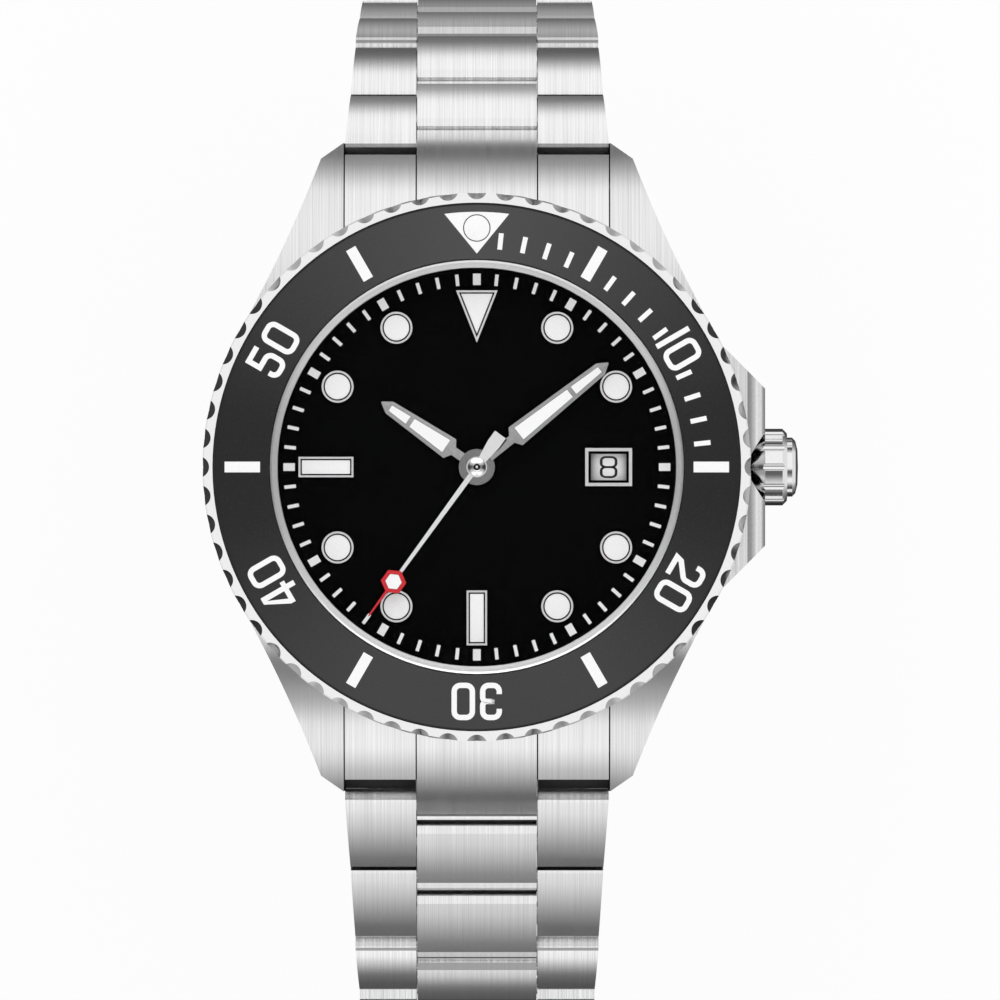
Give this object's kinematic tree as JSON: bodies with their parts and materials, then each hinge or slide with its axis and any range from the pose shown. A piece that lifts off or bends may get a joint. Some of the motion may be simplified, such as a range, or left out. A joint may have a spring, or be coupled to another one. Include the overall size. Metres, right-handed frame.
{
  "type": "dive watch",
  "caption": "Round steel dive watch with a scalloped turning bezel, black date dial, guarded screw-down crown and a tapered three-link bracelet on a folding clasp.",
  "frame": {"origin": "centre of the flat outside of the case back, on the axis of the hands", "axes": "+Z out of the dial, +Y to twelve o'clock along the bracelet, +X to the crown"},
  "size_m": [0.0446, 0.0771, 0.0524],
  "materials": {
    "brushed_steel": "brushed along the bracelet",
    "polished_steel": "polished",
    "plain_steel": "fine ground",
    "gilt_brass": "gilt",
    "insert_black": "satin with fine grain",
    "dial_black": "deep black gloss",
    "crystal_glass": "clear, anti-reflection coated",
    "seal_rubber": "matt",
    "blued_steel": "blued",
    "date_white": "matt white",
    "lume_white": "matt white luminous fill"
  },
  "bodies": {
    "watch_case": {"case": "brushed_steel", "crown_tube": "plain_steel", "case_back": "brushed_steel", "back_gasket": "seal_rubber", "crystal": "crystal_glass", "crystal_gasket": "seal_rubber", "rehaut_ring": "polished_steel", "bezel_spring": "plain_steel", "dial": "dial_black", "hour_markers": "polished_steel", "marker_lume": "lume_white", "movement_ring": "plain_steel", "main_plate": "gilt_brass", "train_bridge": "plain_steel", "balance_cock": "plain_steel", "rotor_bearing": "plain_steel", "end_links": "brushed_steel", "lug_spring_bars": "plain_steel"},
    "bezel": {"bezel_ring": "polished_steel", "bezel_insert": "insert_black", "bezel_pearl": "lume_white"},
    "stem": {"winding_stem": "plain_steel"},
    "crown": {"crown": "polished_steel"},
    "seconds_set": {"seconds_hand": "polished_steel", "seconds_lume": "lume_white", "seconds_wheel": "gilt_brass"},
    "minute_set": {"minute_hand": "polished_steel", "minute_lume": "lume_white", "centre_wheel": "gilt_brass"},
    "hour_set": {"hour_hand": "polished_steel", "hour_lume": "lume_white", "hour_wheel": "gilt_brass"},
    "third_set": {"third_wheel": "gilt_brass"},
    "escape_set": {"escape_wheel": "gilt_brass"},
    "motion_set": {"minute_wheel": "gilt_brass"},
    "barrel_set": {"barrel": "gilt_brass"},
    "pallet": {"pallet_fork": "gilt_brass"},
    "balance": {"balance_wheel": "gilt_brass", "hairspring": "blued_steel"},
    "date": {"date_ring": "date_white"},
    "rotor_set": {"rotor": "plain_steel"},
    "blade_inner": {"clasp_blade_inner": "brushed_steel"},
    "blade_outer": {"clasp_blade_outer": "brushed_steel"},
    "cover": {"clasp_cover": "brushed_steel"},
    "lock": {"clasp_lock": "brushed_steel"},
    "row_12_1": {"link_12_1": "brushed_steel"},
    "row_12_2": {"link_12_2": "brushed_steel"},
    "row_12_3": {"link_12_3": "brushed_steel"},
    "row_12_4": {"link_12_4": "brushed_steel"},
    "row_12_5": {"link_12_5": "brushed_steel"},
    "row_12_6": {"link_12_6": "brushed_steel"},
    "row_12_7": {"link_12_7": "brushed_steel"},
    "row_6_1": {"link_6_1": "brushed_steel"},
    "row_6_2": {"link_6_2": "brushed_steel"},
    "row_6_3": {"link_6_3": "brushed_steel"},
    "row_6_4": {"link_6_4": "brushed_steel"},
    "row_6_5": {"link_6_5": "brushed_steel"},
    "row_6_6": {"link_6_6": "brushed_steel"},
    "row_6_7": {"link_6_7": "brushed_steel"}
  },
  "joints": [
    {"name": "bezel_turn", "type": "hinge", "parent": "watch_case", "child": "bezel", "pos_m": [0, 0, 0.01], "axis": [0, 0, 1], "continuous": true},
    {"name": "stem_turn", "type": "hinge", "parent": "watch_case", "child": "stem", "pos_m": [0.012, 0, 0.0052], "axis": [1, 0, 0], "continuous": true},
    {"name": "crown_pull", "type": "slide", "parent": "stem", "child": "crown", "axis": [1, 0, 0], "range_m": [0, 0.0014]},
    {"name": "seconds_turn", "type": "hinge", "parent": "watch_case", "child": "seconds_set", "pos_m": [0, 0, 0.008], "axis": [0, 0, -1], "continuous": true},
    {"name": "minute_turn", "type": "hinge", "parent": "watch_case", "child": "minute_set", "pos_m": [0, 0, 0.008], "axis": [0, 0, -1], "continuous": true},
    {"name": "hour_turn", "type": "hinge", "parent": "watch_case", "child": "hour_set", "pos_m": [0, 0, 0.008], "axis": [0, 0, -1], "continuous": true},
    {"name": "third_turn", "type": "hinge", "parent": "watch_case", "child": "third_set", "pos_m": [0.00258, 0.00369, 0.005], "axis": [0, 0, -1], "continuous": true},
    {"name": "escape_turn", "type": "hinge", "parent": "watch_case", "child": "escape_set", "pos_m": [0.00115, -0.00431, 0.005], "axis": [0, 0, -1], "continuous": true},
    {"name": "motion_turn", "type": "hinge", "parent": "watch_case", "child": "motion_set", "pos_m": [-0.00132, 0.00229, 0.0072], "axis": [0, 0, -1], "continuous": true},
    {"name": "barrel_turn", "type": "hinge", "parent": "watch_case", "child": "barrel_set", "pos_m": [-0.00542, -0.00096, 0.005], "axis": [0, 0, -1], "continuous": true},
    {"name": "pallet_rock", "type": "hinge", "parent": "watch_case", "child": "pallet", "pos_m": [-0.00078, -0.00569, 0.005], "axis": [0, 0, 1], "range_deg": [-6, 6]},
    {"name": "balance_swing", "type": "hinge", "parent": "watch_case", "child": "balance", "pos_m": [-0.0029, -0.0072, 0.0042], "axis": [0, 0, 1], "range_deg": [-270, 270], "stiffness_Nm_per_rad": 0.0000006, "deforming": ["hairspring"]},
    {"name": "date_turn", "type": "hinge", "parent": "watch_case", "child": "date", "pos_m": [0, 0, 0.0072], "axis": [0, 0, -1], "continuous": true},
    {"name": "rotor_turn", "type": "hinge", "parent": "watch_case", "child": "rotor_set", "pos_m": [0, 0, 0.0025], "axis": [0, 0, 1], "continuous": true},
    {"name": "row_12_1_fold", "type": "hinge", "parent": "watch_case", "child": "row_12_1", "pos_m": [0, 0.02415, 0.001], "axis": [1, 0, 0], "range_deg": [0, 55]},
    {"name": "row_12_2_fold", "type": "hinge", "parent": "row_12_1", "child": "row_12_2", "pos_m": [0, 0.02794, -0.00441], "axis": [1, 0, 0], "range_deg": [0, 8]},
    {"name": "row_12_3_fold", "type": "hinge", "parent": "row_12_2", "child": "row_12_3", "pos_m": [0, 0.03163, -0.00988], "axis": [1, 0, 0], "range_deg": [0, 19]},
    {"name": "row_12_4_fold", "type": "hinge", "parent": "row_12_3", "child": "row_12_4", "pos_m": [0, 0.03333, -0.01625], "axis": [1, 0, 0], "range_deg": [0, 8]},
    {"name": "row_12_5_fold", "type": "hinge", "parent": "row_12_4", "child": "row_12_5", "pos_m": [0, 0.03471, -0.02271], "axis": [1, 0, 0], "range_deg": [0, 28]},
    {"name": "row_12_6_fold", "type": "hinge", "parent": "row_12_5", "child": "row_12_6", "pos_m": [0, 0.03289, -0.02905], "axis": [1, 0, 0], "range_deg": [0, 28]},
    {"name": "row_12_7_fold", "type": "hinge", "parent": "row_12_6", "child": "row_12_7", "pos_m": [0, 0.0283, -0.0338], "axis": [1, 0, 0], "range_deg": [0, 26]},
    {"name": "row_6_1_fold", "type": "hinge", "parent": "watch_case", "child": "row_6_1", "pos_m": [0, -0.02535, 0.001], "axis": [-1, 0, 0], "range_deg": [0, 36]},
    {"name": "row_6_2_fold", "type": "hinge", "parent": "row_6_1", "child": "row_6_2", "pos_m": [0, -0.03069, -0.00288], "axis": [-1, 0, 0], "range_deg": [0, 8]},
    {"name": "row_6_3_fold", "type": "hinge", "parent": "row_6_2", "child": "row_6_3", "pos_m": [0, -0.03596, -0.00685], "axis": [-1, 0, 0], "range_deg": [0, 23]},
    {"name": "row_6_4_fold", "type": "hinge", "parent": "row_6_3", "child": "row_6_4", "pos_m": [0, -0.03926, -0.01257], "axis": [-1, 0, 0], "range_deg": [0, 28]},
    {"name": "row_6_5_fold", "type": "hinge", "parent": "row_6_4", "child": "row_6_5", "pos_m": [0, -0.03949, -0.01916], "axis": [-1, 0, 0], "range_deg": [0, 26]},
    {"name": "row_6_6_fold", "type": "hinge", "parent": "row_6_5", "child": "row_6_6", "pos_m": [0, -0.03681, -0.02519], "axis": [-1, 0, 0], "range_deg": [0, 24]},
    {"name": "row_6_7_fold", "type": "hinge", "parent": "row_6_6", "child": "row_6_7", "pos_m": [0, -0.0319, -0.02961], "axis": [-1, 0, 0], "range_deg": [0, 20]},
    {"name": "blade_inner_fold", "type": "hinge", "parent": "row_6_7", "child": "blade_inner", "pos_m": [0, -0.02578, -0.03208], "axis": [-1, 0, 0], "range_deg": [0, 25]},
    {"name": "blade_outer_fold", "type": "hinge", "parent": "blade_inner", "child": "blade_outer", "pos_m": [0, 0.00842, -0.03828], "axis": [1, 0, 0], "range_deg": [0, 150]},
    {"name": "cover_open", "type": "hinge", "parent": "blade_outer", "child": "cover", "pos_m": [0, -0.02096, -0.03447], "axis": [-1, 0, 0], "range_deg": [0, 150]},
    {"name": "lock_flip", "type": "hinge", "parent": "cover", "child": "lock", "pos_m": [0, -0.01316, -0.03713], "axis": [1, 0, 0], "range_deg": [0, 100]}
  ],
  "couplings": [
    {"joint": "minute_turn", "follows": "seconds_turn", "ratio": 0.016667},
    {"joint": "hour_turn", "follows": "seconds_turn", "ratio": 0.0013889},
    {"joint": "third_turn", "follows": "seconds_turn", "ratio": -0.13333},
    {"joint": "escape_turn", "follows": "seconds_turn", "ratio": -12},
    {"joint": "motion_turn", "follows": "seconds_turn", "ratio": -0.0055556},
    {"joint": "barrel_turn", "follows": "seconds_turn", "ratio": -0.002381},
    {"joint": "blade_outer_fold", "follows": "cover_open", "ratio": 1}
  ]
}
